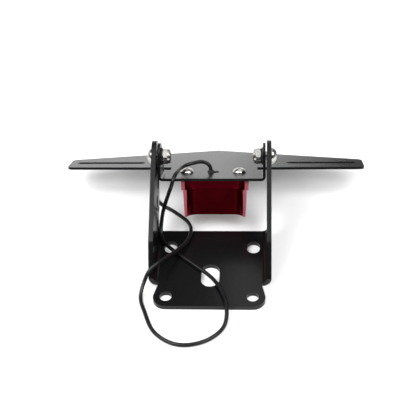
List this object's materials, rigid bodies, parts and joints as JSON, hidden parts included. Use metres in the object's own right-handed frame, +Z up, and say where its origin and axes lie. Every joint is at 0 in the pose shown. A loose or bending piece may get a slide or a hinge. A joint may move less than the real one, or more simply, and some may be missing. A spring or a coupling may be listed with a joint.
{
  "type": "fender eliminator",
  "caption": "Folded steel tail bracket with two arms, a winged number plate bracket that tilts between them on button bolts, and a plate light with its lead.",
  "frame": {"origin": "on the base's underside, midway between the two front holes", "axes": "+X across the width, +Y from the base back to the number plate bracket, +Z up from the base's mounting face to the pivot bolts"},
  "size_m": [0.271, 0.2513, 0.08],
  "materials": {
    "black_bracket": "satin black powder coat with a fine grain",
    "black_plate": "satin black powder coat with a fine grain, a little smoother than the bracket",
    "zinc_steel": "bright zinc-plated steel, lightly turned",
    "nut_insert_plastic": "pale nylon locking ring",
    "dark_washer": "black oxide, satin",
    "red_anodised": "deep red anodised aluminium with brighter cut edges",
    "clear_lens": "clear moulded lens",
    "black_rubber": "matt black rubber",
    "board_white": "white solder mask",
    "led_yellow": "yellow phosphor under clear resin",
    "lead_jacket": "black vinyl jacket with a soft sheen",
    "plug_plastic": "moulded black nylon",
    "pin_brass": "plain brass"
  },
  "bodies": {
    "base": {"main_bracket": "black_bracket", "pivot_bolt_left": "zinc_steel", "pivot_bolt_right": "zinc_steel", "pivot_nut_left": "zinc_steel", "pivot_nut_right": "zinc_steel", "nut_insert_left": "nut_insert_plastic", "nut_insert_right": "nut_insert_plastic", "nut_washer_left": "dark_washer", "nut_washer_right": "dark_washer", "lead": "lead_jacket", "lead_plug": "plug_plastic", "plug_pins": "pin_brass"},
    "plate": {"plate_bracket": "black_plate", "light_housing": "red_anodised", "light_lens": "clear_lens", "lens_seal": "black_rubber", "led_board": "board_white", "leds": "led_yellow", "light_screw_left": "zinc_steel", "light_screw_right": "zinc_steel", "cable_gland": "black_rubber"}
  },
  "joints": [
    {"name": "plate_tilt", "type": "hinge", "parent": "base", "child": "plate", "pos_m": [0, 0.108, 0.0665], "axis": [1, 0, 0], "range_deg": [0, 100], "deforming": ["lead"]}
  ]
}
